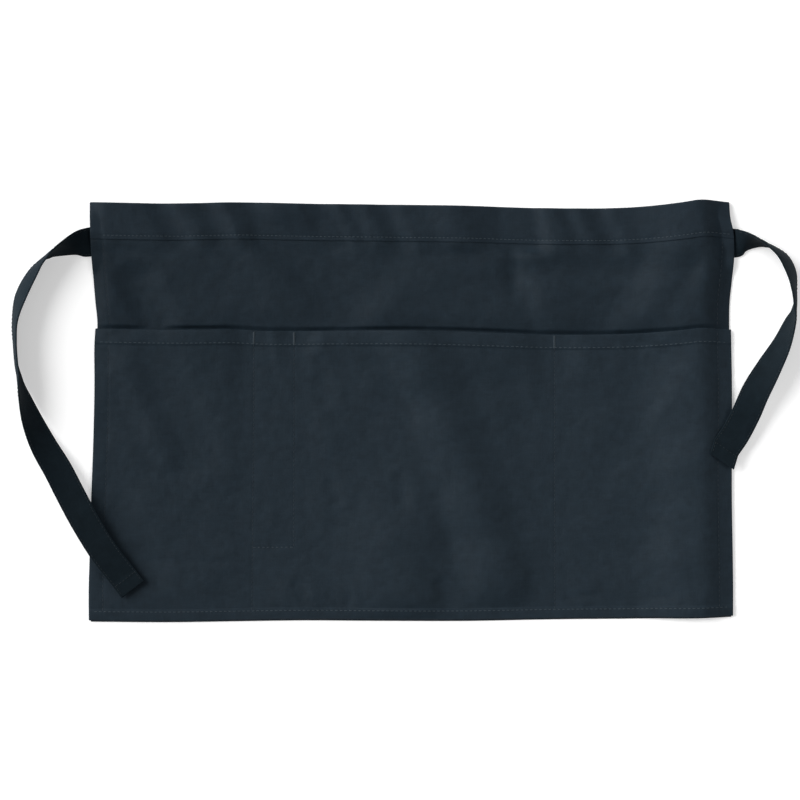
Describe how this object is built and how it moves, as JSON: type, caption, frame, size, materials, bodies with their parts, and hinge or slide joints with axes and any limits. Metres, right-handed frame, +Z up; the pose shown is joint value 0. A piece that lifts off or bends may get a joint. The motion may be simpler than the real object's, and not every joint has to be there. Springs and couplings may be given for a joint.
{
  "type": "waist apron",
  "caption": "Short waist apron lying flat, with a folded waistband, a pocket front stitched into wide and narrow pockets, and two tape ties curled over its front.",
  "frame": {"origin": "on the surface that the apron lies on, under the middle of its body", "axes": "+X along the waist to the viewer's right, +Y towards the waistband, +Z up from the surface, out of the pocket front"},
  "size_m": [0.7471, 0.4012, 0.0274],
  "materials": {
    "panel_cloth": "matte plain-woven cotton mix, dark navy grey",
    "band_cloth": "the same cloth, folded over the top edge",
    "pocket_cloth": "the same cloth, with doubled hems at its mouth and foot",
    "tie_cloth": "the same cloth folded into a flat tape and edge-stitched"
  },
  "bodies": {
    "root": {"body_panel": "panel_cloth", "waistband": "band_cloth", "pocket_panel": "pocket_cloth", "tie_left": "tie_cloth", "tie_right": "tie_cloth"}
  },
  "joints": []
}
